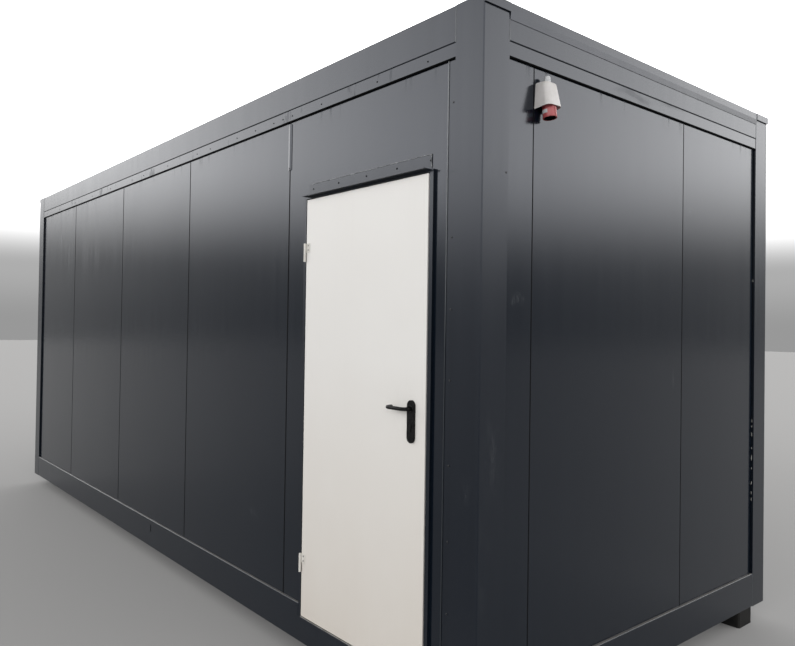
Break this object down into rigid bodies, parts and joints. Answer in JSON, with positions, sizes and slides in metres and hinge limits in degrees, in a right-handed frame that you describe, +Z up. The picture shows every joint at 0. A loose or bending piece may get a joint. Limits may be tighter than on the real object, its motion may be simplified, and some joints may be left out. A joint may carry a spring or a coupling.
{
  "type": "portable site cabin",
  "caption": "Flat-roofed portable site cabin: steel frame, flush sandwich-panel walls, a hinged flush door with lever handle and rain hood, and a power inlet high on one end.",
  "frame": {"origin": "on the ground under the middle of the frame, at the undersides of the feet", "axes": "+X along the long side towards the end wall with the power inlet, -Y out of the door side, +Z up"},
  "size_m": [6.1244, 2.492, 2.89],
  "materials": {
    "frame": "satin anthracite paint on folded steel",
    "wall": "smooth satin anthracite coil coating",
    "zinc": "galvanised, faintly spangled",
    "floor_covering": "grey vinyl floor covering",
    "inner_white": "white coil coating",
    "sill_alu": "mill finish",
    "hinge_white": "white paint",
    "inlet_white": "moulded off-white",
    "inlet_red": "moulded red",
    "pin_metal": "nickel-plated",
    "gland_white": "pale moulded plastic",
    "foot_black": "black moulded block",
    "door_white": "satin off-white paint",
    "handle_black": "black, satin",
    "cylinder_dark": "blackened, satin",
    "lock_metal": "nickel, satin"
  },
  "bodies": {
    "root": {"floor_rail_front": "frame", "floor_rail_back": "frame", "end_floor_rails": "frame", "corner_posts": "frame", "corner_caps": "frame", "long_roof_rails": "frame", "end_roof_rails": "frame", "gutter_lips": "frame", "head_strips": "frame", "door_jambs": "frame", "door_head": "frame", "rain_hood": "frame", "post_cover_strip": "frame", "joint_cover_strip": "frame", "front_panel_right_of_door": "wall", "front_panel_left_of_door": "wall", "front_panel_over_door": "wall", "front_panel_2": "wall", "front_panel_3": "wall", "front_panel_4": "wall", "front_panel_5": "wall", "back_wall_panels": "wall", "right_end_panels": "wall", "left_end_panels": "wall", "roof_sheet": "zinc", "floor_cassette": "zinc", "floor_deck": "floor_covering", "ceiling_panel": "inner_white", "corner_linings": "inner_white", "door_sill": "sill_alu", "hinge_frame_halves": "hinge_white", "inlet_housing": "inlet_white", "inlet_sleeve": "inlet_red", "inlet_pins": "pin_metal", "inlet_gland": "gland_white", "feet": "foot_black"},
    "door": {"door_leaf": "door_white", "hinge_door_halves": "hinge_white", "outside_handle_plate": "handle_black", "inside_handle_plate": "handle_black", "lock_cylinder": "cylinder_dark", "door_forend": "lock_metal"},
    "handle": {"outside_lever": "handle_black", "inside_lever": "handle_black", "handle_spindle": "lock_metal"}
  },
  "joints": [
    {"name": "door_swing", "type": "hinge", "parent": "root", "child": "door", "pos_m": [1.876, -1.227, 0.221], "axis": [0, 0, -1], "range_deg": [0, 110]},
    {"name": "lever_turn", "type": "hinge", "parent": "door", "child": "handle", "pos_m": [2.663, -1.219, 1.311], "axis": [0, -1, 0], "range_deg": [0, 40], "stiffness_Nm_per_rad": 1.5, "springref_deg": -20.05}
  ]
}
